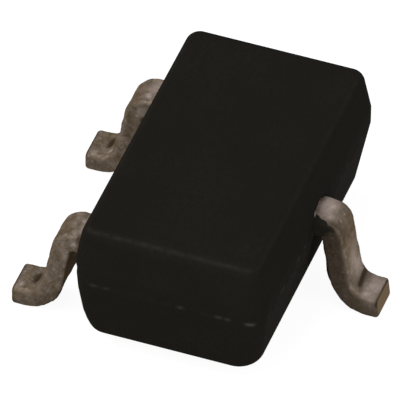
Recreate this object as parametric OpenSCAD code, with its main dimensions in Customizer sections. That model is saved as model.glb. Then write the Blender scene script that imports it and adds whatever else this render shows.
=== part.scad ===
// Three-lead surface-mount voltage reference: a moulded body of 2.1 x 1.25 mm on gull-wing leads.
// Sizes are in millimetres. X runs along the body, Y across it towards the single ground lead, Z is up.
// The origin is on the seating plane, midway between the toes of the leads.

/* [Mould body] */
// Length of the body along X
body_l = 2.10; // [1.9:0.05:2.3]
// Width of the body along Y, at the parting line
body_w = 1.25; // [1.15:0.05:1.4]
// Height of the upper mould half, from the parting line to the top face
upper_h = 0.385; // [0.36:0.005:0.5]
// Height of the lower mould half, from the underside to the parting line
lower_h = 0.475; // [0.4:0.005:0.6]
// Gap between the seating plane and the underside
standoff = 0.115; // [0.02:0.005:0.15]
// How far the sides lean in between the parting line and the top face
upper_draft = 0.040; // [0.02:0.005:0.08]
// How far the sides lean in between the parting line and the underside
lower_draft = 0.065; // [0.02:0.005:0.1]
// Corner radius seen from above, at the parting line
parting_corner_r = 0.115; // [0.05:0.005:0.15]
// Corner radius seen from above, at the top face
upper_corner_r = 0.095; // [0.09:0.005:0.2]
// Corner radius seen from above, at the underside
lower_corner_r = 0.13; // [0.09:0.005:0.2]
// Radius along the edge of the top face
upper_edge_r = 0.085; // [0.02:0.005:0.085]
// Radius along the edge of the underside
lower_edge_r = 0.070; // [0.02:0.005:0.085]
// Height of the upright band above the parting line, level with the lead frame's strip
upper_land = 0.095; // [0.02:0.005:0.12]
// Height of the upright band below the parting line
lower_land = 0.018; // [0.004:0.002:0.04]
// How far the body sits off the middle of the lead frame, towards the ground lead
body_shift = 0.020; // [0:0.005:0.04]

/* [Leads] */
// Width of a lead outside the body
lead_w = 0.255; // [0.18:0.005:0.3]
// Thickness of the lead frame strip
strip_t = 0.130; // [0.1:0.005:0.15]
// Distance between the input lead and the output lead
lead_pitch = 1.30; // [1.2:0.05:1.4]
// Height of the strip's upper face above the parting line
strip_rise = 0.090; // [0.06:0.005:0.12]
// Straight run of the ground lead between the body and its upper bend
shoulder = 0.027; // [0.02:0.001:0.1]
// Inside radius of the upper bend
upper_bend_r = 0.026; // [0.015:0.001:0.06]
// Inside radius of the lower bend
lower_bend_r = 0.125; // [0.05:0.005:0.14]
// Lean of the leg away from vertical, in degrees
leg_lean = 10; // [4:0.5:15]
// Flat length of the foot, from the lower bend to the toe
foot_l = 0.065; // [0.05:0.005:0.2]

/* [Lead frame inside the body] */
// Length of the die pad along X
pad_l = 0.88; // [0.8:0.02:0.94]
// Resin between the body's near side and the die pad
pad_setback = 0.36; // [0.3:0.01:0.4]
// Width of the die pad along Y
pad_w = 0.56; // [0.54:0.02:0.66]
// Resin between the body's parting line and the outer edge of a wire post
post_wall = 0.13; // [0.1:0.01:0.16]
// Gap between the die pad and a wire post
frame_gap = 0.12; // [0.08:0.01:0.14]
// Resin between the body's side and the near edge of a wire post
post_setback = 0.14; // [0.1:0.01:0.18]
// Length of a wire post along Y
post_l = 0.34; // [0.3:0.01:0.4]
// Diameter of the resin lock hole in each wire post
lock_hole_d = 0.10; // [0.06:0.01:0.12]
// Distance of a lock hole's centre from the near edge of its post
lock_hole_setback = 0.10; // [0.08:0.01:0.12]
// Radius of the resin lock notches in the neck of the ground lead
lock_notch_r = 0.035; // [0.02:0.005:0.05]

/* [Die] */
// Length of the die along X
die_l = 0.54; // [0.5:0.02:0.6]
// Width of the die along Y
die_w = 0.44; // [0.4:0.02:0.5]
// Thickness of the die
die_t = 0.11; // [0.08:0.01:0.13]
// Thickness of the adhesive under the die
attach_t = 0.015; // [0.01:0.005:0.02]
// Width of the adhesive fillet that shows around the die
attach_border = 0.025; // [0.015:0.005:0.04]

/* [Bond wires] */
// Diameter of a bond wire
wire_d = 0.025; // [0.02:0.001:0.03]
// Diameter of the squashed ball at the die end
ball_d = 0.06; // [0.05:0.005:0.07]
// Height of the squashed ball
ball_h = 0.016; // [0.012:0.001:0.02]
// Diameter of the stitch at the lead end
stitch_d = 0.05; // [0.04:0.005:0.06]
// Thickness of the stitch
stitch_h = 0.008; // [0.006:0.001:0.012]
// Height of the top of a wire loop above the die
loop_h = 0.09; // [0.07:0.005:0.1]
// Distance of a ball's centre from the die's edges
ball_inset = 0.08; // [0.06:0.005:0.1]
// Distance of a stitch's centre from the end of its post
stitch_inset = 0.08; // [0.05:0.01:0.1]

/* [Hidden] */
$fn = 64;
// Sides of the section that is swept along a bond wire, and the steps along it
wire_sides = 8;
wire_steps = 18;
// Facets on a rounded corner of the body
corner_fn = 32;
// Joined pieces and cuts run this far past the faces that they cross
over = 0.05;

// Heights
parting_z = standoff + lower_h;
strip_top_z = parting_z + strip_rise;
strip_mid_z = strip_top_z - strip_t;
attach_top_z = strip_top_z + attach_t;
die_top_z = attach_top_z + die_t;

// Sides of the body along Y: the ground lead leaves the far one, the other two leads the near one
far_side_y = body_shift + body_w / 2;
near_side_y = body_shift - body_w / 2;

// The gull wing in the Y-Z plane, measured outwards from the middle of the lead frame
upper_outer_r = upper_bend_r + strip_t;
lower_outer_r = lower_bend_r + strip_t;
upper_centre = [far_side_y + shoulder, strip_top_z - upper_outer_r];
leg_drop = upper_centre[1] - lower_outer_r + (upper_outer_r + lower_bend_r) * sin(leg_lean);
leg_l = leg_drop / cos(leg_lean);
leg_run = (upper_outer_r + lower_bend_r) * cos(leg_lean) + leg_l * sin(leg_lean);
lower_centre = [upper_centre[0] + leg_run, lower_outer_r];
toe_y = lower_centre[0] + foot_l;
wing_start_y = upper_centre[0] - upper_outer_r;

// Plan of the lead frame inside the body
pad_y = near_side_y + pad_setback + pad_w / 2;
post_outer_x = body_l / 2 - post_wall;
post_inner_x = pad_l / 2 + frame_gap;
post_w = post_outer_x - post_inner_x;
post_start_y = near_side_y + post_setback;
post_end_y = post_start_y + post_l;
neck_start_y = pad_y + pad_w / 2;
neck_mid_y = (neck_start_y + far_side_y) / 2;

// Ends of the bond wires, as points in plan
ball_x = die_l / 2 - ball_inset;
ball_y = die_w / 2 - ball_inset;
post_mid_x = (post_inner_x + post_outer_x) / 2;
post_bond = [post_mid_x, post_end_y - stitch_inset];
pad_bond_x = (die_l / 2 + attach_border + pad_l / 2) / 2;

// A disc for one corner of a mould half: the upper edge of its rim is rounded.
module corner_disc(r, edge_r) {
    rotate_extrude($fn = corner_fn) {
        square([r - edge_r, edge_r]);
        intersection() {
            translate([r - edge_r, 0]) circle(edge_r, $fn = corner_fn);
            square([r, edge_r]);
        }
    }
}

// A mould half above z = 0: an upright band at the parting line, drawn in to a rounded face.
module mould_half(h, draft, land, corner_r, edge_r) {
    land_x = body_l / 2 - parting_corner_r;
    land_y = body_w / 2 - parting_corner_r;
    face_x = body_l / 2 - draft - corner_r;
    face_y = body_w / 2 - draft - corner_r;
    hull() {
        for (sx = [-1, 1], sy = [-1, 1]) {
            translate([sx * land_x, sy * land_y, 0])
                cylinder(r = parting_corner_r, h = land, $fn = corner_fn);
            translate([sx * face_x, sy * face_y, h - edge_r]) corner_disc(corner_r, edge_r);
        }
    }
}

// All that lies below one face of the gull wing, in the Y-Z plane: the outer face has a depth of 0,
// and the inner face lies a depth of one strip thickness under it.
module under_wing(depth, beyond) {
    upper_r = upper_outer_r - depth;
    lower_r = lower_bend_r + depth;
    leg_out = [cos(leg_lean), sin(leg_lean)];
    difference() {
        union() {
            polygon([
                [wing_start_y - beyond, strip_top_z - depth],
                [upper_centre[0], strip_top_z - depth],
                upper_centre + upper_r * leg_out,
                lower_centre - lower_r * leg_out,
                lower_centre,
                [lower_centre[0], strip_t - depth],
                [toe_y + beyond, strip_t - depth],
                [toe_y + beyond, -over - beyond],
                [wing_start_y - beyond, -over - beyond]
            ]);
            translate(upper_centre) circle(upper_r);
        }
        translate(lower_centre) circle(lower_r);
    }
}

// A lead outside the body: shoulder, upper bend, leg, lower bend and foot, out to +Y.
module gull_wing() {
    translate([-lead_w / 2, 0, 0])
        rotate([90, 0, 90])
            linear_extrude(lead_w)
                difference() {
                    under_wing(0, 0);
                    under_wing(strip_t, over);
                }
}

// The strip between the body's near side and a wire post, and the post with its resin lock hole.
module signal_lead(side) {
    lead_x = side * lead_pitch / 2;
    translate([lead_x, 0, 0]) mirror([0, 1, 0]) gull_wing();
    translate([0, 0, strip_mid_z]) {
        linear_extrude(strip_t) {
            translate([lead_x - lead_w / 2, -far_side_y])
                square([lead_w, post_start_y + far_side_y + over]);
            difference() {
                translate([side * post_mid_x - post_w / 2, post_start_y]) square([post_w, post_l]);
                translate([side * post_mid_x, post_start_y + lock_hole_setback])
                    circle(d = lock_hole_d);
            }
        }
    }
}

module lead_in() {
    color("silver") signal_lead(-1);
}

module lead_out() {
    color("silver") signal_lead(1);
}

// The ground lead and the die pad are one stamping. Two notches in the neck lock it into the resin.
module lead_ground() {
    color("silver") {
        gull_wing();
        translate([0, 0, strip_mid_z])
            linear_extrude(strip_t)
                difference() {
                    union() {
                        translate([-pad_l / 2, pad_y - pad_w / 2]) square([pad_l, pad_w]);
                        translate([-lead_w / 2, pad_y]) square([lead_w, far_side_y - pad_y]);
                    }
                    for (side = [-1, 1])
                        translate([side * lead_w / 2, neck_mid_y]) circle(lock_notch_r);
                }
    }
}

module die_attach() {
    color("gray")
        translate([0, pad_y, strip_top_z + attach_t / 2])
            cube([die_l + 2 * attach_border, die_w + 2 * attach_border, attach_t], center = true);
}

module die() {
    color("slategray")
        translate([0, pad_y, attach_top_z + die_t / 2]) cube([die_l, die_w, die_t], center = true);
}

// A squashed ball: a disc whose rim is a half circle.
module ball_bond() {
    rotate_extrude() {
        square([(ball_d - ball_h) / 2, ball_h]);
        intersection() {
            translate([(ball_d - ball_h) / 2, ball_h / 2]) circle(ball_h / 2);
            square([ball_d / 2, ball_h]);
        }
    }
}

// Points and directions along a cubic curve with four control points.
function curve_point(p, t) =
    p[0] * pow(1 - t, 3) + 3 * p[1] * t * pow(1 - t, 2) + 3 * p[2] * t * t * (1 - t) + p[3] * pow(t, 3);
function curve_slope(p, t) =
    (p[1] - p[0]) * pow(1 - t, 2) + 2 * (p[2] - p[1]) * t * (1 - t) + (p[3] - p[2]) * t * t;
function unit(v) = v / norm(v);

// A round wire along a cubic curve in the X-Z plane: a ring of points at each step, square to the curve.
module swept_wire(p) {
    rings = [
        for (k = [0:wire_steps])
            let (t = k / wire_steps, c = curve_point(p, t), d = unit(curve_slope(p, t)))
                for (s = [0:wire_sides - 1])
                    let (a = 360 * s / wire_sides, u = wire_d / 2 * cos(a), v = wire_d / 2 * sin(a))
                        [c[0] + d[1] * u, v, c[1] - d[0] * u]
    ];
    sides = [
        for (k = [0:wire_steps - 1], s = [0:wire_sides - 1])
            let (n = (s + 1) % wire_sides, a = k * wire_sides)
                [a + s, a + wire_sides + s, a + wire_sides + n, a + n]
    ];
    first = [for (s = [0:wire_sides - 1]) s];
    last = [for (s = [wire_sides - 1:-1:0]) wire_steps * wire_sides + s];
    polyhedron(rings, concat(sides, [first], [last]), convexity = 4);
}

// A bond wire from a ball on the die to a stitch on the lead frame, both given in plan.
module bond_wire(from, to) {
    span = norm(to - from);
    heading = atan2(to[1] - from[1], to[0] - from[0]);
    base_z = die_top_z + ball_h - wire_d / 4;
    peak_z = die_top_z + loop_h - wire_d / 2;
    land_z = strip_top_z + wire_d / 2;
    // With its two middle control points at this height the curve's top comes near peak_z
    lift_z = base_z + (peak_z - base_z) * 1.5;
    color("gold") {
        translate([from[0], from[1], die_top_z]) ball_bond();
        translate([from[0], from[1], 0])
            rotate([0, 0, heading])
                swept_wire([[0, base_z], [0, lift_z], [span / 3, lift_z], [span, land_z]]);
        translate([to[0], to[1], strip_top_z]) cylinder(d = stitch_d, h = stitch_h);
    }
}

module wire_in() {
    bond_wire([-ball_x, pad_y - ball_y], [-post_bond[0], post_bond[1]]);
}

module wire_out() {
    bond_wire([ball_x, pad_y - ball_y], post_bond);
}

module wire_ground() {
    bond_wire([ball_x, pad_y + ball_y], [pad_bond_x, pad_y + ball_y]);
}

// The resin body: two drafted halves that meet at the parting line, cast around all that lies inside.
module mould_body() {
    color([0.12, 0.11, 0.10])
        difference() {
            translate([0, body_shift, parting_z]) {
                mould_half(upper_h, upper_draft, upper_land, upper_corner_r, upper_edge_r);
                mirror([0, 0, 1])
                    mould_half(lower_h, lower_draft, lower_land, lower_corner_r, lower_edge_r);
            }
            lead_in();
            lead_out();
            lead_ground();
            die_attach();
            die();
            wire_in();
            wire_out();
            wire_ground();
        }
}

mould_body();
lead_in();
lead_out();
lead_ground();
die_attach();
die();
wire_in();
wire_out();
wire_ground();
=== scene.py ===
import math
from types import SimpleNamespace

import bpy
import numpy as np
from mathutils import Matrix, Vector


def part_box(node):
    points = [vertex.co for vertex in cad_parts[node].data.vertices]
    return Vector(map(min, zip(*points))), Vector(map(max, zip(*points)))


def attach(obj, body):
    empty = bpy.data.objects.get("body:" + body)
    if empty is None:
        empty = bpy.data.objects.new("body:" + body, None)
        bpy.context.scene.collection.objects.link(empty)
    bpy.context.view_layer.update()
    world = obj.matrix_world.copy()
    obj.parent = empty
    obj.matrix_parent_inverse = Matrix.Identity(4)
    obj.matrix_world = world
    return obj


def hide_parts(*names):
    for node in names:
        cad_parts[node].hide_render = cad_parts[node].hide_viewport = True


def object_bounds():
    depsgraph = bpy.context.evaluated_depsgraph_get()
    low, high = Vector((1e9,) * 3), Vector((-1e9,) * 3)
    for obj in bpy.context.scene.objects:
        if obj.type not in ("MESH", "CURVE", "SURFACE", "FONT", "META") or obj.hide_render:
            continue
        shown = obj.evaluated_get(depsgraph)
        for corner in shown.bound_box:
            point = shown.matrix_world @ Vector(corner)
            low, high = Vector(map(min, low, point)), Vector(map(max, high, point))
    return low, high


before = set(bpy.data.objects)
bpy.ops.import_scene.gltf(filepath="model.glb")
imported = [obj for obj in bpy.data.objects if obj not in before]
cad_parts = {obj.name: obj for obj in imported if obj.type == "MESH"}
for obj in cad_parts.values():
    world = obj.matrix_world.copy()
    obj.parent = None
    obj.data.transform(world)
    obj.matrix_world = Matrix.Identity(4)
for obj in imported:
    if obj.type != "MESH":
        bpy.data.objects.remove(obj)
cad_low, cad_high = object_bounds()

# The view: a long lens looks down at the part from past the end of the output lead, so that the body's
# top, its output end and the ground lead's side show.
MM = 0.001
view_turn = math.radians(19.197)
view_height = math.radians(42.626)
view_roll = math.radians(0.917)
view_aim = Vector((0.07239, -0.10969, 0.56384)) * MM
view_distance = 65.124 * MM
view_lens = 957.7
view_sensor = 36.0
view_clip = (1 * MM, 10.0)

view_back = Vector((math.cos(view_turn) * math.cos(view_height),
                    math.sin(view_turn) * math.cos(view_height),
                    math.sin(view_height)))
level_right = Vector((-math.sin(view_turn), math.cos(view_turn), 0.0))
level_up = view_back.cross(level_right)
view_right = level_right * math.cos(view_roll) + level_up * math.sin(view_roll)
view_up = view_back.cross(view_right)


def set_out(name, data):
    """Puts a camera, a lamp or a mesh into the scene under a name."""
    thing = bpy.data.objects.new(name, data)
    bpy.context.scene.collection.objects.link(thing)
    return thing


camera_data = bpy.data.cameras.new("view")
camera_data.lens = view_lens
camera_data.sensor_width = view_sensor
camera_data.clip_start, camera_data.clip_end = view_clip
camera = set_out("view", camera_data)
camera_axes = Matrix((view_right, view_up, view_back)).transposed().to_4x4()
camera.matrix_world = Matrix.Translation(view_aim + view_back * view_distance) @ camera_axes
bpy.context.scene.camera = camera
bpy.context.scene.view_settings.view_transform = "Standard"

# The table and the light: a white sheet under the part, one broad soft lamp overhead towards the signal
# leads, two weak ones from the viewer's side and the ground lead's, and an even pale surround. The sheet is
# matt for light in transit, and glows for what sees it directly, so that it shows white behind the part.
table_half = 150 * MM
table_seat = -0.001 * MM
sheet_level = 0.8
shadow_level = 0.16
glow_level = 0.93
surround_level = 0.42
lamp_distance = 150 * MM


def new_material(name):
    """An empty node material and its tree."""
    material = bpy.data.materials.new(name)
    material.use_nodes = True
    material.node_tree.nodes.clear()
    return material, material.node_tree


def put(tree, kind, settings=None, **sockets):
    """Adds a node, sets its properties, and fills its sockets, each with a value or from another socket. A
    socket goes by its name, with _ for a space, or by i and its number."""
    node = tree.nodes.new(kind)
    for key, value in (settings or {}).items():
        setattr(node, key, value)
    for key, value in sockets.items():
        numbered = key[0] == "i" and key[1:].isdigit()
        socket = node.inputs[int(key[1:]) if numbered else key.replace("_", " ")]
        if isinstance(value, bpy.types.NodeSocket):
            tree.links.new(value, socket)
        else:
            socket.default_value = value
    return node


def reckon(tree, operation, *values, clamp=False):
    """The result of one operation, such as MULTIPLY, on numbers and sockets."""
    sockets = {"i%d" % number: value for number, value in enumerate(values)}
    return put(tree, "ShaderNodeMath", {"operation": operation, "use_clamp": clamp}, **sockets).outputs[0]


def seen_directly(tree, path):
    """1 for a ray from the camera, from a reflection or through something clear, 0 for light in transit."""
    shown = reckon(tree, "MAXIMUM", path.outputs["Is Camera Ray"], path.outputs["Is Glossy Ray"])
    return reckon(tree, "MAXIMUM", shown, path.outputs["Is Transmission Ray"])


def grey(level):
    """A grey of one level."""
    return (level, level, level, 1)


def coat(piece, material):
    """Gives a piece one material, in place of any that it has."""
    piece.data.materials.clear()
    piece.data.materials.append(material)


table_signs = ((-1, -1), (1, -1), (1, 1), (-1, 1))
table_corners = [(x * table_half, y * table_half, table_seat) for x, y in table_signs]
table_mesh = bpy.data.meshes.new("table")
table_mesh.from_pydata(table_corners, [], [(0, 1, 2, 3)])
table = set_out("table", table_mesh)
sheet, tree = new_material("white_sheet")
path = put(tree, "ShaderNodeLightPath")
matt = put(tree, "ShaderNodeBsdfDiffuse", Color=grey(sheet_level))
shade = put(tree, "ShaderNodeBsdfDiffuse", Color=grey(shadow_level))
glow = put(tree, "ShaderNodeEmission", Color=grey(1), Strength=glow_level)
white = put(tree, "ShaderNodeAddShader", i0=shade.outputs[0], i1=glow.outputs[0])
face = put(tree, "ShaderNodeMixShader", i0=seen_directly(tree, path), i1=matt.outputs[0], i2=white.outputs[0])
clear = put(tree, "ShaderNodeBsdfTransparent")
back_of_sheet = put(tree, "ShaderNodeNewGeometry").outputs["Backfacing"]
from_below = reckon(tree, "MULTIPLY", back_of_sheet, path.outputs["Is Camera Ray"])
one_way = put(tree, "ShaderNodeMixShader", i0=from_below, i1=face.outputs[0], i2=clear.outputs[0])
put(tree, "ShaderNodeOutputMaterial", Surface=one_way.outputs[0])
coat(table, sheet)

world = bpy.data.worlds.new("surround")
bpy.context.scene.world = world
world.use_nodes = True
tree = world.node_tree
tree.nodes.clear()
direct = seen_directly(tree, put(tree, "ShaderNodeLightPath"))
level = put(tree, "ShaderNodeMapRange", Value=direct, To_Min=surround_level, To_Max=1.0)
sky = put(tree, "ShaderNodeBackground", Color=grey(1), Strength=level.outputs[0])
put(tree, "ShaderNodeOutputWorld", Surface=sky.outputs[0])


def soft_lamp(name, direction, size, power):
    """A square lamp that faces the part from a direction, at lamp_distance."""
    lamp_data = bpy.data.lights.new(name, "AREA")
    lamp_data.shape = "SQUARE"
    lamp_data.size = size
    lamp_data.energy = power
    lamp = set_out(name, lamp_data)
    direction = Vector(direction).normalized()
    lamp.location = direction * lamp_distance
    lamp.rotation_mode = "QUATERNION"
    lamp.rotation_quaternion = direction.to_track_quat("Z", "Y")


soft_lamp("overhead_lamp", (0.15, -0.40, 0.90), 120 * MM, 0.150)
soft_lamp("viewer_lamp", (0.85, -0.35, 0.45), 80 * MM, 0.044)
soft_lamp("side_lamp", (0.30, 0.90, 0.40), 100 * MM, 0.076)

# The mould body: filled black epoxy pressed in two halves round the lead frame. Both halves lean in from
# the parting line, where a thin broken flash is left, and all their edges are rounded. Its sizes are in
# millimetres, and heights count from the parting line.
body_low, body_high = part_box("mould_body")
body_l = (body_high.x - body_low.x) / MM
body_w = (body_high.y - body_low.y) / MM
body_mid_y = (body_high.y + body_low.y) / 2 / MM
body_bottom_z = body_low.z / MM
body_top_z = body_high.z / MM
lower_h = 0.475
upper_h = body_top_z - body_bottom_z - lower_h
parting_z = body_bottom_z + lower_h
upper_draft, lower_draft = 0.040, 0.065
upper_land, lower_land = 0.095, 0.018
parting_corner_r, upper_corner_r, lower_corner_r = 0.115, 0.095, 0.130
upper_edge_r, lower_edge_r = 0.085, 0.070
land_x, land_y = body_l / 2 - parting_corner_r, body_w / 2 - parting_corner_r
corner_steps, long_steps, short_steps = 14, 90, 56
land_step, wall_steps, edge_steps, face_steps = 0.012, 24, 16, 8
face_middle, face_middle_r = 0.01, 0.0001
smooth_below = math.radians(38)

# At the output end, the corner on the signal leads' side is blunter at the parting line and squarer below
# it, and the one on the ground lead's side is blunter at the underside. What each radius gains, by height:
signal_gain_heights = [-0.43, -0.38, -0.30, -0.20, -0.12, 0.00, 0.035, 0.07, 0.22]
signal_gains = [0.0, -0.020, -0.031, -0.015, -0.001, 0.051, 0.050, 0.030, 0.0]
ground_gain_heights = [-0.43, -0.36, -0.25]
ground_gains = [0.035, 0.018, 0.0]

# The flash stands proud of both halves, and the wall behind it starts at two heights close to it. Along the
# sides it is broken by chance, and on the output end it lies in dashes: the middle in y, half the length and
# the strength of each. A painted glint lies along it, lighter where the flash is stronger, and fades out
# in height over its reach.
flash_proud = 0.0035
behind_flash = (0.0025, 0.006)
flash_wave, flash_seed = 0.09, 11
flash_from, flash_full = 0.15, 1.15
flash_strength, flash_strength_on_end = 0.5, 0.06
flash_dashes = ((-0.445, 0.026, 0.40), (-0.366, 0.018, 0.36), (0.114, 0.018, 0.60),
                (0.358, 0.024, 0.50), (0.416, 0.016, 0.50), (0.560, 0.030, 1.0))
seam_reach = 0.011

# A shallow chip over the ground lead's exit, where the resin broke away as the frame was cut free, and the
# tin that crept up onto it from the lead: the middle and the reach in x, and the same in height.
chip_depth = 0.024
chip_x, chip_reach_x, chip_up, chip_reach_up = -0.035, 0.085, 0.098, 0.022
crept_x, crept_reach_x, crept_foot, crept_full, crept_end = 0.008, 0.095, 0.050, 0.116, 0.138

# The edges carry a painted highlight where their rounding faces up and out, the one over the output end most
# and unevenly in y.
rubbed_slope, rubbed_reach = 55, 9
rub_places = [-0.55, -0.32, -0.18, -0.02, 0.22, 0.40, 0.50, 0.58]
rub_shares = [0.80, 0.80, 1.20, 0.90, 0.72, 0.98, 0.72, 0.30]
rub_elsewhere = 0.3


def ramp(values, start, end):
    """0 up to the start, 1 from the end on, and even in between. The end may be the lower of the two."""
    return np.clip((values - start) / (end - start), 0, 1)


def bell(distance, reach, power=2):
    """1 at no distance and 1/e at the reach: e to minus the power of their ratio. A power of 4 is flatter."""
    return np.exp(-(distance / reach) ** power)


def waves(points, length, seed):
    """A smooth uneven field from about -1 to 1: 24 sine waves in seeded directions, each near one wave
    length, summed and divided by 5, which is about the root of their number."""
    rng = np.random.default_rng(seed)
    heading = rng.normal(size=(24, 3))
    heading /= np.linalg.norm(heading, axis=1)[:, None]
    pace = 2 * np.pi / (length * rng.uniform(0.7, 1.5, 24))
    phase = rng.uniform(0, 2 * np.pi, 24)
    return np.sin(points @ (heading * pace[:, None]).T + phase).sum(-1) / 5.0


def inside_out(points, triangles):
    """Whether the triangles close a negative volume: the sum of each first corner's product with the cross
    product of the other two."""
    a, b, c = (points[triangles[:, k]] for k in range(3))
    return np.einsum("ij,ij->i", a, np.cross(b, c)).sum() < 0


def skin(name, rings, marks):
    """A closed mesh over a stack of closed rings, points[ring, place, xyz] in millimetres.

    Each ring's points join those of the next ring in four-sided faces, and the first and the last ring
    close onto the mean of their own points. marks holds one value a point for each named mark.
    """
    stack, places = rings.shape[:2]
    points = np.concatenate([rings.reshape(-1, 3), rings[0].mean(0)[None], rings[-1].mean(0)[None]])
    here = np.arange(places)
    after = (here + 1) % places
    ring = (np.arange(stack - 1) * places)[:, None]
    last = (stack - 1) * places
    quads = np.stack([ring + here, ring + after, ring + places + after, ring + places + here], -1)
    quads = quads.reshape(-1, 4)
    start = np.stack([np.full(places, stack * places), after, here], -1)
    end = np.stack([np.full(places, stack * places + 1), last + here, last + after], -1)
    if inside_out(points, np.concatenate([quads[:, [0, 1, 2]], quads[:, [0, 2, 3]], start, end])):
        quads, start, end = quads[:, ::-1], start[:, ::-1], end[:, ::-1]
    mesh = bpy.data.meshes.new(name)
    mesh.from_pydata((points * MM).tolist(), [], quads.tolist() + start.tolist() + end.tolist())
    for mark, values in marks.items():
        ends = [values[0].mean(), values[-1].mean()]
        layer = mesh.attributes.new(mark, "FLOAT", "POINT")
        layer.data.foreach_set("value", np.concatenate([values.ravel(), ends]).astype(np.float32))
    mesh.shade_smooth()
    mesh.set_sharp_from_angle(angle=smooth_below)
    return set_out(name, mesh)


def round_the_corners(corner_steps, long_steps, short_steps):
    """Places round an oblong with rounded corners: for each, how far along the two straight directions it
    lies, from -1 to 1, and the direction of the corner's radius there. A side keeps one direction and
    slides, a corner turns a quarter."""
    across, along, turn = [], [], []
    for quarter, (sx, sy) in enumerate(((1, 1), (-1, 1), (-1, -1), (1, -1))):
        on_long = quarter % 2 == 0
        corner = (quarter + np.linspace(0, 1, corner_steps + 1)) * np.pi / 2
        slide = np.linspace(1, -1, (long_steps if on_long else short_steps) + 1)[1:-1]
        still = np.ones(len(slide))
        across += [np.full(len(corner), float(sx)), (slide if on_long else still) * sx]
        along += [np.full(len(corner), float(sy)), (still if on_long else slide) * sy]
        turn += [corner, still * (quarter + 1) * np.pi / 2]
    return np.concatenate(across), np.concatenate(along), np.concatenate(turn)


def mould_half(height, draft, land, corner_r, edge_r):
    """The profile of one mould half from the parting line to the middle of its face, as rows of: height,
    the corner centre's distance from the middle in x and y, the corner radius, how far the wall is set in
    behind the flash from 0 to 1, and how much painted highlight its edge takes.

    The wall is upright up to the land's end and then straight to where it touches the edge's arc, the arc
    turns to level, and the face runs in.
    """
    face_x, face_y = body_l / 2 - draft - corner_r, body_w / 2 - draft - corner_r
    rise = land - (height - edge_r)
    reach = draft + edge_r
    touch = math.atan2(rise, reach) + math.acos(edge_r / math.hypot(rise, reach))
    touch_z = height - edge_r + edge_r * math.sin(touch)
    touch_r = corner_r - edge_r + edge_r * math.cos(touch)
    up_land = np.concatenate([behind_flash, np.linspace(land_step, land, 2 + int(land / land_step))])
    up_wall = np.linspace(0, 1, wall_steps)[1:]
    up_edge = touch + (math.pi / 2 - touch) * np.linspace(0, 1, edge_steps)[1:]
    inward = np.linspace(1, 0, face_steps)[1:-1]

    def rows(*columns):
        """Numbers and arrays side by side, as the columns of a table."""
        return np.stack(np.broadcast_arrays(*columns), -1).reshape(-1, len(columns))

    return np.concatenate([
        rows(0.0, land_x, land_y, parting_corner_r, 0.0, 0.0),
        rows(up_land, land_x, land_y, parting_corner_r, 1.0, 0.0),
        rows(land + (touch_z - land) * up_wall, land_x + (face_x - land_x) * up_wall,
             land_y + (face_y - land_y) * up_wall, parting_corner_r + (touch_r - parting_corner_r) * up_wall,
             1 - up_wall, 0.0),
        rows(height - edge_r + edge_r * np.sin(up_edge), face_x, face_y,
             corner_r - edge_r + edge_r * np.cos(up_edge), 0.0,
             bell(np.degrees(up_edge) - rubbed_slope, rubbed_reach)),
        rows(height, face_x * inward, face_y * inward, (corner_r - edge_r) * inward, 0.0, 0.0),
        rows(height, face_x * face_middle, face_y * face_middle, face_middle_r, 0.0, 0.0)])


def resin_outline(height, centre_x, centre_y, radius):
    """The resin's outline in x and y at a height, for each place round it: the corner's centre, slid along
    each side, plus the radius in the direction of the turn. Where a corner gains radius, its centre moves
    in both ways by as much, which leaves the planes of the two sides where they are."""
    signal_gain = np.interp(height, signal_gain_heights, signal_gains) * (1 + across) * (1 - along) / 4
    ground_gain = np.interp(height, ground_gain_heights, ground_gains) * (1 + across) * (1 + along) / 4
    ground_gain = ground_gain * centre_x / land_x
    radius = radius + signal_gain + ground_gain
    return (across * centre_x - signal_gain - ground_gain + radius * np.cos(turn),
            along * centre_y + signal_gain - ground_gain + radius * np.sin(turn))


upper = mould_half(upper_h, upper_draft, upper_land, upper_corner_r, upper_edge_r)
lower = mould_half(lower_h, lower_draft, lower_land, lower_corner_r, lower_edge_r)
lower[:, 0] *= -1
profile = np.concatenate([lower[:0:-1], upper])
height, centre_x, centre_y, radius, behind, rubbed = (profile[:, k][:, None] for k in range(6))
across, along, turn = round_the_corners(corner_steps, long_steps, short_steps)
on_output_end, on_ground_side = np.cos(turn) > 0.7, np.sin(turn) > 0.9
rim_x, rim_y = resin_outline(0.0, land_x, land_y, parting_corner_r)
rim = np.stack([rim_x, rim_y, np.zeros(len(turn))], -1)
flash = ramp(waves(rim, flash_wave, flash_seed), flash_from, flash_full)
flash = flash * np.where(on_output_end, flash_strength_on_end, flash_strength)
for middle_y, half, strength in flash_dashes:
    flash = np.maximum(flash, strength * bell(rim_y + body_mid_y - middle_y, half, 4) * on_output_end)
set_in = flash_proud * (behind + (1 - flash) * (height == 0))
ring_x, ring_y = resin_outline(height, centre_x, centre_y, radius - set_in)
chip = chip_depth * bell(ring_x - chip_x, chip_reach_x, 4) * bell(height - chip_up, chip_reach_up)
crept_tin = bell(ring_x - crept_x, crept_reach_x, 4) * ramp(height, crept_end, crept_full)
# Painted highlight along the edges: shaped over the output end, weaker elsewhere.
rub = np.where(np.cos(turn) > 0.5, np.interp(rim_y, rub_places, rub_shares), rub_elsewhere)
rings = np.stack([ring_x, ring_y - chip * on_ground_side + body_mid_y,
                  np.broadcast_to(height, ring_x.shape) + parting_z], -1)
body = skin("resin_body", rings, {
    "edge": rubbed * rub,
    # The flash's lighter colour is a painted glint.
    "seam": bell(height, seam_reach) * flash,
    "crept_tin": crept_tin * (height > crept_foot) * on_ground_side})


def new_group(name, inputs, outputs):
    """An empty shader node group with numbers going in, each a name and a value, and numbers coming out."""
    group = bpy.data.node_groups.new(name, "ShaderNodeTree")
    for label, value in inputs:
        socket = group.interface.new_socket(name=label, in_out="INPUT", socket_type="NodeSocketFloat")
        socket.default_value = value
    for label in outputs:
        group.interface.new_socket(name=label, in_out="OUTPUT", socket_type="NodeSocketFloat")
    return group, group.nodes.new("NodeGroupInput")


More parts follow.
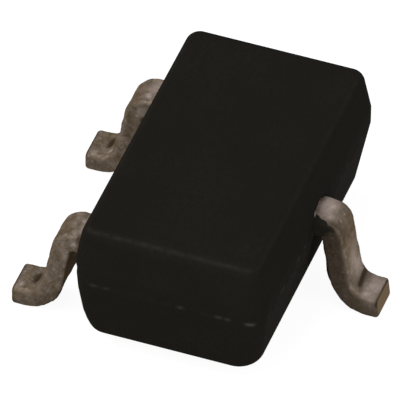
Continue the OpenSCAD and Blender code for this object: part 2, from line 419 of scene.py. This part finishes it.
def place(tree, group, **sockets):
    """A copy of a shader node group in a material's tree, with this material's values."""
    return put(tree, "ShaderNodeGroup", {"node_tree": group}, **sockets)


def blend_colour(tree, share, under, over):
    """A colour between two: share 0 gives the first, 1 the second. Each is a colour or a socket."""
    return put(tree, "ShaderNodeMix", {"data_type": "RGBA"}, i0=share, i6=under, i7=over).outputs[2]


def lay_over(tree, colour, *layers):
    """A colour with others laid over it in turn, each with its share."""
    for share, over in layers:
        colour = blend_colour(tree, share, colour, over)
    return colour


def read_mark(tree, mark):
    """The value that the mesh holds under a mark's name."""
    settings = {"attribute_type": "GEOMETRY", "attribute_name": mark}
    return put(tree, "ShaderNodeAttribute", settings).outputs["Fac"]


def lie_between(tree, value, low, high, to_low=0.0, to_high=1.0):
    """Stretches the part of a value between low and high to the two new ends, and holds it there."""
    return put(tree, "ShaderNodeMapRange", Value=value, From_Min=low, From_Max=high,
               To_Min=to_low, To_Max=to_high).outputs[0]


def fine_bump(tree, height, distance):
    """A normal raised by a height from 0 to 1 over a distance in metres."""
    return put(tree, "ShaderNodeBump", Strength=1.0, Distance=distance, Height=height).outputs[0]


# Grain: a coarse drift and a fine speckle on the piece's own coordinates, as two masks and one height.
grain, given = new_group("surface_grain",
                         [("Coarse Scale", 4000), ("Fine Scale", 60000), ("Fine Share", 0.5)],
                         ["Drift", "Speckle", "Height"])
spot = put(grain, "ShaderNodeTexCoord").outputs["Object"]
drift = put(grain, "ShaderNodeTexNoise", Vector=spot, Scale=given.outputs["Coarse Scale"], Detail=3.0,
            Roughness=0.55).outputs[0]
speckle = put(grain, "ShaderNodeTexNoise", Vector=spot, Scale=given.outputs["Fine Scale"], Detail=2.0,
              Roughness=0.6).outputs[0]
both = put(grain, "ShaderNodeMix", {"data_type": "FLOAT"}, i0=given.outputs["Fine Share"],
           i2=drift, i3=speckle)
put(grain, "NodeGroupOutput", Drift=drift, Speckle=speckle, Height=both.outputs[0])

# Broken edge mask: a piece's edge mark broken up by noise, as a mask. On the resin it carries a painted
# highlight, on the tin the rubbed wear of the edges, and it also breaks up the crept tin.
edge_wear, given = new_group("edge_wear", [("Edge", 0.0), ("Scale", 20000), ("Amount", 0.5)], ["Wear"])
spot = put(edge_wear, "ShaderNodeTexCoord").outputs["Object"]
breaks = put(edge_wear, "ShaderNodeTexNoise", Vector=spot, Scale=given.outputs["Scale"], Detail=4.0,
             Roughness=0.65)
broken = lie_between(edge_wear, breaks.outputs[0], 0.25, 0.62)
worn = reckon(edge_wear, "MULTIPLY", given.outputs["Edge"], broken)
worn = reckon(edge_wear, "MULTIPLY", worn, given.outputs["Amount"], clamp=True)
put(edge_wear, "NodeGroupOutput", Wear=worn)

# Black resin: a mottled and pitted colour, then what lies on it in turn: a painted highlight on the edges, a
# painted glint along the flash, crept tin.
resin_dark, resin_light = (0.0124, 0.0110, 0.0091, 1), (0.0148, 0.0131, 0.0108, 1)
resin_pit, resin_rubbed = (0.0112, 0.0099, 0.0083, 1), (0.0230, 0.0205, 0.0175, 1)
resin_flash, resin_tinned = (0.0500, 0.0440, 0.0380, 1), (0.2100, 0.1650, 0.1450, 1)

resin, tree = new_material("black_resin")
texture = place(tree, grain, Coarse_Scale=2600, Fine_Scale=52000, Fine_Share=0.75)
worn = place(tree, edge_wear, Edge=read_mark(tree, "edge"), Scale=22000, Amount=1.0)
crept = place(tree, edge_wear, Edge=read_mark(tree, "crept_tin"), Scale=30000, Amount=1.0)
mottled = blend_colour(tree, lie_between(tree, texture.outputs["Drift"], 0.36, 0.64), resin_dark, resin_light)
pitted = blend_colour(tree, lie_between(tree, texture.outputs["Speckle"], 0.30, 0.72), resin_pit, mottled)
colour = lay_over(tree, pitted,
                  (worn.outputs[0], resin_rubbed),
                  (read_mark(tree, "seam"), resin_flash),
                  (lie_between(tree, crept.outputs[0], 0.25, 0.60), resin_tinned))
shader = put(tree, "ShaderNodeBsdfPrincipled", Base_Color=colour, Metallic=0.0, IOR=1.5,
             Specular_IOR_Level=0.004,
             Roughness=lie_between(tree, texture.outputs["Drift"], 0.3, 0.7, 0.80, 0.92),
             Normal=fine_bump(tree, texture.outputs["Height"], 0.0022 * MM))
put(tree, "ShaderNodeOutputMaterial", Surface=shader.outputs[0])
coat(body, resin)
coat(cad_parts["mould_body"], resin)
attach(body, "root")
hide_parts("mould_body")

# The leads: three strips of one copper alloy frame, stamped, bent down and out into gull wings and dipped
# in dull tin. The toes are cut after plating, so bare alloy shows there. Inside the body the signal leads
# end in wire posts with a lock hole, and the ground lead widens into the die pad.
strip_t = 0.130
lead_w = 0.255
pitch_half = 0.65
strip_top_z = parting_z + 0.090
shoulder_run = 0.027
upper_bend_r, lower_bend_r = 0.026, 0.125
leg_lean = math.radians(10)
toe_out = cad_high.y / MM
far_side, near_side = body_high.y / MM, -body_low.y / MM
top_edge_r, under_edge_r = 0.028, 0.020
upper_mid_r, lower_mid_r = upper_bend_r + strip_t / 2, lower_bend_r + strip_t / 2
upper_centre = (far_side + shoulder_run, strip_top_z - upper_bend_r - strip_t)
leg_drop = upper_centre[1] - lower_bend_r - strip_t + (upper_mid_r + lower_mid_r) * math.sin(leg_lean)
leg_out = (upper_mid_r + lower_mid_r) * math.cos(leg_lean) + leg_drop * math.tan(leg_lean)
lower_centre = (upper_centre[0] + leg_out, lower_bend_r + strip_t)
inner_level = strip_top_z - strip_t / 2
upper_steps, leg_steps, lower_steps, foot_steps, toe_steps = 34, 45, 70, 12, 9
round_steps, broad_steps, narrow_steps, post_rays = 7, 22, 12, 96

# The toe's edges roll over by toe_ease along its last stretch, and its reach begins further back.
roll_over, toe_ease, toe_roundness, toe_first = 0.020, 0.016, 0.99, 0.88
reach_stretch = 0.06
# Past the leg's end, behind a low burr, a thinned heel sets in over a few hundredths and runs out again.
heel_onset, heel_onset_width = -0.010, 0.006
heel_full, heel_end = 0.09, 0.19
heel_burr, burr_at, burr_reach = 0.35, -0.045, 0.040
# The upper bend swells where the normal of its middle line slopes by this much, in radians.
swell_slope, swell_reach = 0.80, 0.38
# Dents: the wave length and the depth of each kind. They set in past the exit, and above the table.
dents = ((0.085, 0.0016), (0.03, 0.0006))
outside_from, outside_full = -0.02, 0.01
dents_above, dents_full_above = 0.002, 0.022
crease_fade = 0.07

# Painted shade: on the stamped sides by how squarely a face looks sideways, with what the lower bend takes
# away; on the upper face's edges by their place across and their height; on the underside by its share of the
# thickness; and a dark line behind the cut toe. cut and film_soft bound the bare cut and the film of resin,
# which also carries painted shade.
stamped_from, stamped_full, stamped_lost = 0.28125, 0.90625, 0.30
edges_share, edges_from, edges_low, edges_high = 0.45, 0.4, 0.40, 0.52
underside_from, underside_full = -0.3625, -0.4875
toe_line_share, toe_line_at, toe_line_reach = 0.9, 0.003, 0.009
cut_from, cut_full = 0.6875, 1.3125
film_soft = 0.2


def strip_path(inner_stations):
    """The middle line of a lead in the plane across the body, from inside outwards: straight at the inner
    stations, a quarter turn down less the lean, the leg, a turn back to level and the foot. Gives for each
    step the distance out, the height and the slope of the line's normal, and how far round the lower bend
    it is, from 0 to 1."""
    def level(out, height):
        """A level stretch."""
        return np.stack(np.broadcast_arrays(out, height, math.pi / 2), -1)

    def arc(centre, radius, slopes):
        """A bend: the centre plus the radius in the direction of each slope."""
        x, z = centre
        return np.stack([x + radius * np.cos(slopes), z + radius * np.sin(slopes), slopes], -1)

    upper_turn = arc(upper_centre, upper_mid_r, np.linspace(math.pi / 2, leg_lean, upper_steps))
    lower_turn = arc(lower_centre, -lower_mid_r, np.linspace(leg_lean, math.pi / 2, lower_steps))
    down = np.linspace(0, 1, leg_steps + 1)[1:-1, None]
    leg = upper_turn[-1] + (lower_turn[0] - upper_turn[-1]) * down
    foot = level(np.concatenate([np.linspace(lower_centre[0], toe_out - roll_over, foot_steps)[1:],
                                 toe_out - roll_over * np.linspace(toe_first, 0, toe_steps)]), strip_t / 2)
    round_lower_bend = (lower_turn[:, 2] - leg_lean) / (math.pi / 2 - leg_lean)
    before = np.zeros(len(inner_stations) + len(upper_turn) + len(leg))
    return (np.concatenate([level(inner_stations, inner_level), upper_turn, leg, lower_turn, foot]),
            np.concatenate([before, round_lower_bend, np.ones(len(foot))]))


def strip_grid(side, lead_x, inner_stations, inner_middle, inner_half):
    """The places on a lead's strip: steps along its path by places round its section.

    What belongs to the path is a column: the distance out, the height and the slope of the middle line, the
    way run along it, the way left to the toe, the way past the leg's end and past the exit, and the share
    of the lower bend. Inside the body the section's middle and half width follow the inner lists, outside
    they are the lead's own. sideways and upward give the plain section, whose upper edges have the larger
    radius that stamping leaves, and place_across is sideways as a share of the lead's half width. rounded
    is true at the four rounded edges.
    """
    path, bend = strip_path(inner_stations)
    out, height, slope = path.T
    inner = len(inner_stations)
    middle = np.concatenate([inner_middle, np.full(len(path) - inner, lead_x)])
    half = np.concatenate([inner_half, np.full(len(path) - inner, lead_w / 2)])
    across, up, turn = round_the_corners(round_steps, broad_steps, narrow_steps)
    radius = under_edge_r + (top_edge_r - under_edge_r) * (1 + up) / 2
    sideways = across * (half[:, None] - radius) + radius * np.cos(turn)
    upward = up * (strip_t / 2 - radius) + radius * np.sin(turn)
    run = np.concatenate([[0], np.cumsum(np.hypot(np.diff(out), np.diff(height)))])
    exit_out = far_side if side > 0 else near_side
    exit_run = np.interp(exit_out, out[:inner], run[:inner])
    columns = {"middle": middle, "out": out, "height": height, "slope": slope, "run": run, "bend": bend,
               "to_toe": run[-1] - run, "past_leg": run - run[bend > 0][0], "past_exit": run - exit_run}
    return SimpleNamespace(
        side=side, exit_out=exit_out, turn=turn, rounded=np.abs(across * up) > 0.999,
        sideways=sideways, upward=upward + np.zeros_like(sideways),
        place_across=np.clip(sideways / (lead_w / 2), -1, 1), on_top=ramp(upward, 0, strip_t / 2),
        **{label: column[:, None] for label, column in columns.items()})


def form_strip(strip, look):
    """How the forming and the cutting changed a strip's section: sideways, upward, and outwards at the toe.

    The toe's edges roll over along a quarter of a circle and its sides are trimmed. The underside rises at
    the heel: by heel_thinned at the edge on the low x side, and by heel_set_in, a list of ways past the
    leg's end and one of heights. The upper bend swells by bend_swell. The toe reaches out by toe_reach,
    and by toe_slant less at the top than at the bottom.
    """
    rolled = ramp(strip.to_toe, roll_over, 0)
    eased = 1 - np.sqrt(1 - toe_roundness * rolled ** 2)
    upward = strip.upward - toe_ease * eased * np.clip(strip.upward / (strip_t / 2), -1, 1)
    sideways = strip.sideways - look["toe_trim"] * eased * strip.place_across
    thinned = ramp(strip.past_leg, heel_end, heel_full) \
        / (1 + np.exp((heel_onset - strip.past_leg) / heel_onset_width)) \
        - heel_burr * bell(strip.past_leg - burr_at, burr_reach)
    thinned = look["heel_thinned"] * thinned * (1 - strip.place_across) / 2
    under, over = ramp(upward, 0, -strip_t / 2), ramp(upward, 0, strip_t / 2)
    upward = upward + (thinned + np.interp(strip.past_leg, *look["heel_set_in"])) * under
    in_upper_bend = (strip.bend == 0) * (strip.out > strip.exit_out)
    upward = upward + look["bend_swell"] * bell(strip.slope - swell_slope, swell_reach) * in_upper_bend * over
    reach = look["toe_reach"] - look["toe_slant"] * (0.5 + upward / strip_t)
    return rolled, sideways, upward, ramp(strip.to_toe, reach_stretch, 0) * reach


def settle(strip, sideways, upward, outwards):
    """Where a strip's points lie: sideways from its middle line, upward along the line's normal, and out."""
    return np.stack([strip.middle + sideways,
                     strip.side * (strip.out + outwards + upward * np.cos(strip.slope)),
                     strip.height + upward * np.sin(strip.slope)], -1)


def press_creases(strip, creases):
    """The grooves that the forming tool left across the lower bend, as a depth and as a mark from 0 to 1 that
    paints shade into them.

    A crease is: its share of the bend, how far it moves along the lead from the middle to an edge, its
    middle across from -1 to 1 and its half length there, its half width along, and its depth. The depth
    falls off as a bell along the lead, and is cut off softly across it.
    """
    groove, mark = np.zeros_like(strip.sideways), np.zeros_like(strip.sideways)
    lower = strip.bend[:, 0] > 0
    for share, tilt, middle_across, half_across, half_along, depth in creases:
        at = np.interp(share, strip.bend[lower, 0], strip.run[lower, 0]) + tilt * strip.place_across
        beyond = np.abs(strip.place_across - middle_across) - half_across
        pressed = bell(strip.run - at, half_along) / (1 + np.exp(beyond / crease_fade)) * (strip.on_top > 0.9)
        groove += depth * pressed
        mark = np.maximum(mark, pressed)
    return groove, mark


def blots(points, lead_x, spots):
    """Soft spots over a lead: the sum over the spots of strength times a bell of the distance from the
    spot's centre. A spot is: its centre sideways from the lead's middle, out from the frame's middle and
    up, its reach in those three directions, and its strength."""
    total = np.zeros(points.shape[:-1])
    for x, out, up, reach_x, reach_out, reach_up, strength in spots:
        total += strength * np.exp(-(((points[..., 0] - lead_x - x) / reach_x) ** 2
                                     + ((np.abs(points[..., 1]) - out) / reach_out) ** 2
                                     + ((points[..., 2] - up) / reach_up) ** 2))
    return total


def tarnish_strip(strip, look, lead_x, rest, upward):
    """How much painted shade each place takes, from 0 to 1: the stamped sides, less so round the lower bend,
    the heel, the upper face's edges high on the lead, the very underside, the look's own spots, and a dark
    line across the top right behind the cut toe."""
    stamped = ramp(np.abs(np.cos(strip.turn)), stamped_from, stamped_full) * (1 - stamped_lost * strip.bend)
    heel = (strip.past_leg > 0) * ramp(upward, strip_t / 2, -strip_t / 2)
    upper_edges = ramp(np.abs(strip.place_across), edges_from, 1.0) * (strip.on_top > 0.99)
    upper_edges = edges_share * upper_edges * ramp(rest[..., 2], edges_low, edges_high)
    underside = ramp(upward / strip_t, underside_from, underside_full)
    toe_line = toe_line_share * bell(strip.to_toe - toe_line_at, toe_line_reach) * strip.on_top
    tarnish = look["side_tarnish"] * (stamped + upper_edges) + look["heel_tarnish"] * heel \
        + look["under_tarnish"] * underside + blots(rest, lead_x, look["tarnished"]) + toe_line
    return np.clip(tarnish, 0, 1)


def gull_wing(name, side, lead_x, inner_stations, inner_middle, inner_half, look, seed):
    """A lead's strip: the rounded section carried along its path, out to +Y (side 1) or -Y (side -1).

    The section is formed, then dented by waves of a few thousandths where it is free of the body and the
    table, and creased. The cut toe closes it with a flat that leans by toe_slant. The film of resin, which
    also
    paints shade down the side, starts at a line across the lead, which moves over with the way from the exit:
    the look holds its start and slope.
    """
    strip = strip_grid(side, lead_x, inner_stations, inner_middle, inner_half)
    rolled, sideways, upward, outwards = form_strip(strip, look)
    rest = settle(strip, sideways, upward, outwards)
    outside = ramp(strip.out - strip.exit_out, outside_from, outside_full)
    free = outside * ramp(rest[..., 2], dents_above, dents_full_above) * (1 - rolled)
    dent = sum(depth * waves(rest, length, seed + k) for k, (length, depth) in enumerate(dents)) * free
    # The crease mark paints shade into the pressed grooves.
    groove, creased = press_creases(strip, look["creases"])
    upward = upward - dent * np.sin(strip.turn) - groove
    rings = settle(strip, sideways - dent * np.cos(strip.turn), upward, outwards)
    cap = np.stack([rings[-1], (rings[-1] + rings[-1].mean(0)) / 2])
    cap[..., 1] = side * (toe_out + look["toe_reach"] - look["toe_slant"] * cap[..., 2] / strip_t)
    # The film is partly resin bleed and partly painted shade on the lead's side below the exit.
    film = 0.0
    if look["film"]:
        film_start, film_slope = look["film"]
        film = ramp(strip.place_across - film_start - film_slope * strip.past_exit, -film_soft, film_soft)

    def with_cap(values, cap_value=0.0):
        """A mark's values over the strip, and one value over the flat at the toe."""
        on_cap = np.full((len(cap), dent.shape[1]), cap_value)
        return np.concatenate([np.broadcast_to(values, dent.shape), on_cap])

    return skin(name, np.concatenate([rings, cap]), {
        "edge": with_cap(np.abs(np.sin(2 * strip.turn)) * strip.rounded * outside),
        "crease": with_cap(creased),
        "bright": with_cap(np.clip(blots(rest, lead_x, look["bright"]), 0, 1)),
        "tarnish": with_cap(tarnish_strip(strip, look, lead_x, rest, upward)),
        "film": with_cap(film),
        "cut": with_cap(ramp(rolled, cut_from, cut_full), 1.0)})


def post_plate(name, middle_x, half_x, start, end, hole_out, hole_r):
    """A wire post with its lock hole: a square section stretched between the hole's circle and the post's
    outline, and carried once round the hole. In each direction from the hole, the outline is where a ray
    meets the post's sides."""
    a = np.linspace(0, 2 * np.pi, post_rays + 1)[:-1]
    ray_x, ray_y = np.cos(a), np.sin(a)
    reach_x = half_x / np.maximum(np.abs(ray_x), 1e-9)
    reach_y = np.where(ray_y > 0, end - hole_out, hole_out - start) / np.maximum(np.abs(ray_y), 1e-9)
    from_hole = np.array([0, 0, 0.5, 1, 1, 1, 0.5, 0])[:, None]
    below_top = np.array([1, 0, 0, 0, 0.5, 1, 1, 1])[:, None]
    out = hole_r + (np.minimum(reach_x, reach_y) - hole_r) * from_hole
    points = np.stack([middle_x + out * ray_x, -(hole_out + out * ray_y),
                       strip_top_z - strip_t * below_top + np.zeros_like(out)], -1).reshape(-1, 3)
    loop, places = out.shape
    i, j = np.meshgrid(np.arange(loop), np.arange(places), indexing="ij")
    next_i, next_j = (i + 1) % loop, (j + 1) % places
    quads = np.stack([i * places + j, i * places + next_j, next_i * places + next_j, next_i * places + j], -1)
    quads = quads.reshape(-1, 4)
    if inside_out(points, np.concatenate([quads[:, [0, 1, 2]], quads[:, [0, 2, 3]]])):
        quads = quads[:, ::-1]
    mesh = bpy.data.meshes.new(name)
    mesh.from_pydata((points * MM).tolist(), [], quads.tolist())
    return set_out(name, mesh)


def join_plate(lead, plate):
    """Makes the plate part of the lead's own mesh."""
    with bpy.context.temp_override(active_object=lead, selected_editable_objects=[lead, plate]):
        bpy.ops.object.join()


def lead_look(**own):
    """How a lead was formed, has aged and is painted with light and shade: what it has of its own, and for
    the rest what most leads have.

    creases, and the spots of painted highlight and painted shade, are as press_creases and blots say. The
    shares of painted shade on the stamped sides, the heel and the underside go from 0 to 1. toe_trim narrows
    the toe on each side, and form_strip and gull_wing explain the rest.
    """
    return {"side_tarnish": 0.0, "toe_trim": 0.012, "toe_reach": 0.009, "toe_slant": 0.0,
            "heel_thinned": 0.0, "heel_set_in": ([0.0], [0.0]), "film": None, **own}


# Each lead's look lists its painted highlights and painted shade, spot by spot.
in_look = lead_look(
    heel_tarnish=0.18, under_tarnish=0.30, bend_swell=-0.008,
    creases=[(0.72, 0.0, -0.12, 0.36, 0.036, 0.009)],
    bright=[
        (0.057, 0.687, 0.679, 0.018, 0.017, 0.018, 1.0), (0.128, 0.700, 0.604, 0.030, 0.028, 0.032, 0.26),
        (-0.030, 0.665, 0.680, 0.110, 0.050, 0.030, 0.45), (0.118, 0.719, 0.575, 0.030, 0.035, 0.045, 0.30),
        (0.094, 1.026, 0.125, 0.022, 0.020, 0.020, 0.75), (0.076, 0.925, 0.158, 0.018, 0.016, 0.018, 0.75)],
    tarnished=[
        (0.118, 0.776, 0.615, 0.030, 0.030, 0.040, 0.30), (0.118, 0.801, 0.433, 0.030, 0.030, 0.050, 0.25),
        (0.118, 0.979, 0.051, 0.040, 0.080, 0.030, 0.25)])
out_look = lead_look(
    heel_tarnish=0.46, under_tarnish=0.55, bend_swell=-0.003, heel_thinned=0.024,
    creases=[(0.72, 0.0, -0.06, 0.36, 0.036, 0.009)],
    bright=[
        (-0.032, 0.662, 0.680, 0.022, 0.012, 0.016, 0.55), (0.040, 0.651, 0.680, 0.035, 0.012, 0.016, 0.55),
        (0.083, 0.674, 0.680, 0.018, 0.026, 0.020, 0.40), (0.128, 0.672, 0.625, 0.020, 0.020, 0.022, 0.55),
        (0.088, 0.876, 0.258, 0.025, 0.025, 0.030, 0.18), (0.095, 0.905, 0.175, 0.022, 0.030, 0.030, 0.25),
        (0.076, 1.032, 0.125, 0.022, 0.018, 0.020, 0.60), (-0.040, 0.700, 0.680, 0.080, 0.050, 0.030, 0.15),
        (0.128, 0.735, 0.523, 0.030, 0.030, 0.040, 0.30)],
    tarnished=[
        (0.006, 0.682, 0.680, 0.022, 0.016, 0.018, 0.45), (0.121, 0.645, 0.675, 0.026, 0.018, 0.026, 0.75),
        (-0.070, 0.983, 0.132, 0.030, 0.026, 0.030, 0.32), (0.128, 0.805, 0.333, 0.030, 0.028, 0.040, 0.32),
        (-0.083, 0.680, 0.680, 0.030, 0.028, 0.030, 0.28), (0.118, 0.778, 0.488, 0.030, 0.030, 0.050, 0.18),
        (0.118, 0.864, 0.088, 0.040, 0.060, 0.040, 0.20)])
ground_look = lead_look(
    side_tarnish=0.61, heel_tarnish=0.13, under_tarnish=0.50, bend_swell=0.009, film=(0.49, 6.4),
    toe_trim=0.028, toe_reach=0.006, toe_slant=0.017,
    heel_set_in=([-0.16, -0.08, -0.035, 0.0, 0.04, 0.09, 0.14, 0.18],
                 [0.0, -0.009, -0.005, 0.004, 0.009, 0.008, 0.002, 0.0]),
    creases=[(0.486, 0.018, -0.32, 0.70, 0.029, 0.009)],
    bright=[
        (-0.045, 0.685, 0.680, 0.140, 0.065, 0.040, 1.0), (-0.035, 0.654, 0.680, 0.020, 0.014, 0.020, 0.25),
        (-0.035, 0.711, 0.676, 0.018, 0.016, 0.020, 0.25), (0.059, 0.725, 0.672, 0.022, 0.018, 0.020, 0.32),
        (0.004, 0.868, 0.300, 0.080, 0.050, 0.105, 0.62), (-0.062, 0.885, 0.225, 0.055, 0.040, 0.065, 0.50),
        (0.000, 1.005, 0.125, 0.120, 0.055, 0.045, 0.90), (0.112, 0.870, 0.150, 0.025, 0.050, 0.045, 0.15),
        (0.072, 0.972, 0.135, 0.030, 0.022, 0.020, 0.60)],
    tarnished=[
        (0.114, 0.756, 0.652, 0.036, 0.034, 0.032, 0.66), (0.064, 0.806, 0.605, 0.045, 0.030, 0.035, 0.28),
        (-0.106, 0.780, 0.637, 0.035, 0.040, 0.050, 0.22), (-0.094, 0.945, 0.140, 0.050, 0.022, 0.030, 0.25),
        (0.050, 0.822, 0.555, 0.120, 0.045, 0.065, 0.26)])

# The signal leads, each with the wire post that it ends in.
post_start, post_end, post_overlap = 0.125, 0.465, 0.03
post_middle, post_half = 0.740, 0.180
hole_out, hole_r = 0.365, 0.050
stub_steps = 32
stations = np.linspace(post_end - post_overlap, upper_centre[0], stub_steps)[:-1]
leads = {}
for node, sign, look, seed in (("lead_in", -1, in_look, 31), ("lead_out", 1, out_look, 41)):
    lead_x = sign * pitch_half
    leads[node] = gull_wing("tinned_" + node, -1, lead_x, stations, np.full(len(stations), lead_x),
                            np.full(len(stations), lead_w / 2), look, seed)
    plate = post_plate(node + "_post", sign * post_middle, post_half, post_start, post_end, hole_out, hole_r)
    join_plate(leads[node], plate)

# The ground lead, with the die pad and the two notches in the pad's neck that lock it in the resin.
pad_start, pad_end, pad_half = -0.245, 0.315, 0.440
notch_out, notch_r = 0.480, 0.035
pad_steps, notch_steps, neck_steps = 14, 17, 22
pad_stations = np.linspace(pad_start, pad_end, pad_steps)
neck_stations = np.concatenate([[pad_end], np.linspace(notch_out - notch_r, notch_out + notch_r, notch_steps),
                                np.linspace(notch_out + notch_r, upper_centre[0], neck_steps)[1:-1]])
notch = np.sqrt(np.clip(notch_r ** 2 - (neck_stations - notch_out) ** 2, 0, None))
stations = np.concatenate([pad_stations, neck_stations])
halves = np.concatenate([np.full(len(pad_stations), pad_half), lead_w / 2 - notch])
leads["lead_ground"] = gull_wing("tinned_lead_ground", 1, 0.0, stations, np.zeros(len(stations)), halves,
                                 ground_look, 51)

# Dull tin: a mottled plating, then what lies on it in turn, from its specks through painted highlights and
# painted shade up to the film of resin, which also paints shade. The metal shows less where the tin is cut
# through, under painted shade or under the film.
tin_dark, tin_light = (0.088, 0.066, 0.044, 1), (0.160, 0.125, 0.096, 1)
tin_speck, tin_patch = (0.198, 0.160, 0.128, 1), (0.088, 0.066, 0.036, 1)
# Of the two light tins on the next line, the first is a painted highlight and the second the colour of random
# flecks.
tin_bright, tin_fleck = (0.380, 0.314, 0.282, 1), (0.400, 0.340, 0.305, 1)
tin_rubbed = (0.270, 0.220, 0.185, 1)
# Both browns are painted shade: the first on the shaded sides, heel and underside, the second in the pressed
# creases.
tarnish_brown, crease_brown = (0.026, 0.018, 0.011, 1), (0.024, 0.017, 0.011, 1)
# The black of the film is partly resin bleed and partly painted shade.
bare_alloy, film_black = (0.156, 0.116, 0.070, 1), (0.0200, 0.0185, 0.0150, 1)
tin_edge_tint = (0.55, 0.45, 0.36, 1)

tin, tree = new_material("dull_tin")
texture = place(tree, grain, Coarse_Scale=17000, Fine_Scale=60000, Fine_Share=0.45)
drift, speckle = texture.outputs["Drift"], texture.outputs["Speckle"]
worn = place(tree, edge_wear, Edge=read_mark(tree, "edge"), Scale=26000, Amount=0.12)
spot = put(tree, "ShaderNodeTexCoord").outputs["Object"]
patches = put(tree, "ShaderNodeTexNoise", Vector=spot, Scale=9000.0, Detail=3.0, Roughness=0.6)
flecks = put(tree, "ShaderNodeTexVoronoi", {"feature": "F1"}, Vector=spot, Scale=22000.0, Randomness=1.0)
ragged = lie_between(tree, drift, 0.25, 0.75, -0.25, 0.25)
film = lie_between(tree, reckon(tree, "ADD", read_mark(tree, "film"), ragged), 0.42, 0.62)


def ragged_mark(mark, low, high, most):
    """A mark of the tin's mesh with its border broken up by the grain, stretched from low to high onto 0 to
    most."""
    broken = reckon(tree, "MULTIPLY_ADD", ragged, read_mark(tree, mark), read_mark(tree, mark))
    return lie_between(tree, broken, low, high, 0.0, most)


colour = lay_over(tree, blend_colour(tree, lie_between(tree, drift, 0.36, 0.64), tin_dark, tin_light),
                  (lie_between(tree, speckle, 0.42, 0.80, 0.0, 0.65), tin_speck),
                  (lie_between(tree, patches.outputs[0], 0.50, 0.66, 0.0, 0.65), tin_patch),
                  (ragged_mark("bright", 0.0, 1.0, 1.0), tin_bright),
                  (lie_between(tree, flecks.outputs["Distance"], 0.30, 0.06, 0.0, 0.28), tin_fleck),
                  (worn.outputs[0], tin_rubbed),
                  (ragged_mark("tarnish", 0.0, 1.0, 1.0), tarnish_brown),
                  (ragged_mark("crease", 0.1, 0.8, 0.85), crease_brown),
                  (ragged_mark("cut", 0.2, 0.6, 1.0), bare_alloy),
                  (film, film_black))
gloss = lie_between(tree, speckle, 0.3, 0.75, 0.70, 0.56)
dull = put(tree, "ShaderNodeMix", {"data_type": "FLOAT"}, i0=film, i2=gloss, i3=0.90)
uncut = lie_between(tree, read_mark(tree, "cut"), 0.2, 0.6, 0.85, 0.25)
untarnished = lie_between(tree, read_mark(tree, "tarnish"), 0.3, 0.9, 1.0, 0.15)
metal = reckon(tree, "SUBTRACT", reckon(tree, "MULTIPLY", uncut, untarnished), film, clamp=True)
uncoated = lie_between(tree, film, 0.0, 1.0, 1.0, 0.0)
bump = fine_bump(tree, reckon(tree, "MULTIPLY", texture.outputs["Height"], uncoated), 0.0034 * MM)
shader = put(tree, "ShaderNodeBsdfPrincipled", Base_Color=colour, Roughness=dull.outputs[0], Metallic=metal,
             Normal=bump, Specular_IOR_Level=0.0, Specular_Tint=tin_edge_tint)
put(tree, "ShaderNodeOutputMaterial", Surface=shader.outputs[0])
for node, lead in leads.items():
    coat(lead, tin)
    coat(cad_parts[node], tin)
    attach(lead, "root")
    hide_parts(node)

# The die and what holds it: silver-filled adhesive squeezed out round a sawn silicon chip, which lies on
# the die pad in the resin.
paste_dark, paste_light = (0.42, 0.42, 0.42, 1), (0.68, 0.67, 0.65, 1)
silicon_blue, silicon_violet = (0.050, 0.060, 0.085, 1), (0.110, 0.100, 0.120, 1)


def grained_material(name, scales, colours, dullness, raised, metallic):
    """A material of a piece inside the resin, all from one grain, whose coarse scale, fine scale and fine
    share are scales.

    colours holds the mask that mixes two colours, its low and high ends, and the two. dullness holds the
    mask that sets the roughness, and the roughness at 0.3 and at 0.7 of it. raised is the bump's height.
    """
    material, tree = new_material(name)
    texture = place(tree, grain, Coarse_Scale=scales[0], Fine_Scale=scales[1], Fine_Share=scales[2])
    colour_mask, low, high, dark, light = colours
    dull_mask, least_dull, most_dull = dullness
    share = lie_between(tree, texture.outputs[colour_mask], low, high)
    shader = put(tree, "ShaderNodeBsdfPrincipled", Metallic=metallic,
                 Base_Color=blend_colour(tree, share, dark, light),
                 Roughness=lie_between(tree, texture.outputs[dull_mask], 0.3, 0.7, least_dull, most_dull),
                 Normal=fine_bump(tree, texture.outputs["Height"], raised))
    put(tree, "ShaderNodeOutputMaterial", Surface=shader.outputs[0])
    return material


paste = grained_material("silver_paste", (9000, 90000, 0.6), ("Speckle", 0.35, 0.7, paste_dark, paste_light),
                         ("Drift", 0.45, 0.65), 0.002 * MM, 0.6)
coat(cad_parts["die_attach"], paste)
silicon = grained_material("polished_silicon", (14000, 70000, 0.5),
                           ("Drift", 0.4, 0.6, silicon_blue, silicon_violet),
                           ("Speckle", 0.16, 0.28), 0.0004 * MM, 0.35)
coat(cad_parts["die"], silicon)

# The bond wires: three fine wires that join the die to the leads. They are drawn gold, and each is balled
# onto the die and stitched to the lead frame.
gold_dark, gold_light = (0.72, 0.50, 0.17, 1), (0.88, 0.64, 0.26, 1)
gold = grained_material("drawn_gold", (25000, 160000, 0.5), ("Drift", 0.35, 0.65, gold_dark, gold_light),
                        ("Speckle", 0.22, 0.36), 0.0006 * MM, 1.0)
for node in ("wire_in", "wire_out", "wire_ground"):
    coat(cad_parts[node], gold)
